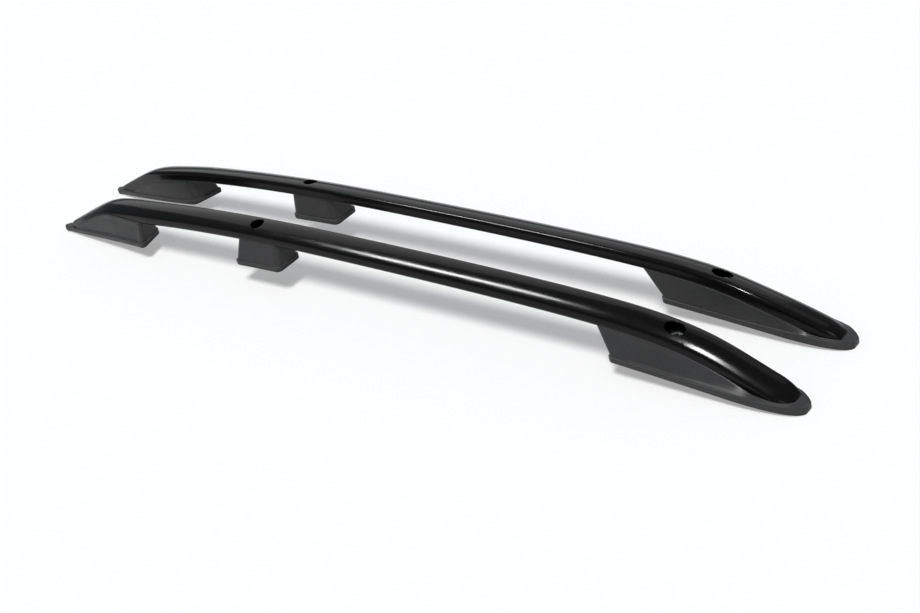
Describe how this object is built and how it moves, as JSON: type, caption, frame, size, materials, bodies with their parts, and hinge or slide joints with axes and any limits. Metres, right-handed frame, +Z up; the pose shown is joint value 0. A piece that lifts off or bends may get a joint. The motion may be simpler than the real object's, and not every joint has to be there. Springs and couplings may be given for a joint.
{
  "type": "roof side rail pair",
  "caption": "Raised side rails for a vehicle roof, left and right: slim canted bars that sweep down at both ends and stand on moulded feet with rubber gaskets and bolt sleeves.",
  "frame": {"origin": "middle of the pair's bounding box at its lowest plane, where the tail and nose ends of both rails touch the ground", "axes": "+X to the front of the vehicle along the rails, +Y to its left, +Z up; the right rail lies at -Y and the left rail at +Y"},
  "size_m": [1.5579, 0.217, 0.11],
  "materials": {
    "rail_bar": "satin black paint",
    "foot": "fine textured dark grey",
    "gasket": "matte black",
    "sleeve": "zinc plated",
    "foot_screw": "zinc plated"
  },
  "bodies": {
    "root": {"right_rail_bar": "rail_bar", "right_rear_foot": "foot", "right_middle_foot": "foot", "right_front_foot": "foot", "right_rear_gasket": "gasket", "right_middle_gasket": "gasket", "right_front_gasket": "gasket", "right_middle_sleeve": "sleeve", "right_front_sleeve": "sleeve", "right_rear_foot_screws": "foot_screw", "right_middle_foot_screws": "foot_screw", "right_front_foot_screws": "foot_screw", "left_rail_bar": "rail_bar", "left_rear_foot": "foot", "left_middle_foot": "foot", "left_front_foot": "foot", "left_rear_gasket": "gasket", "left_middle_gasket": "gasket", "left_front_gasket": "gasket", "left_middle_sleeve": "sleeve", "left_front_sleeve": "sleeve", "left_rear_foot_screws": "foot_screw", "left_middle_foot_screws": "foot_screw", "left_front_foot_screws": "foot_screw"}
  },
  "joints": []
}
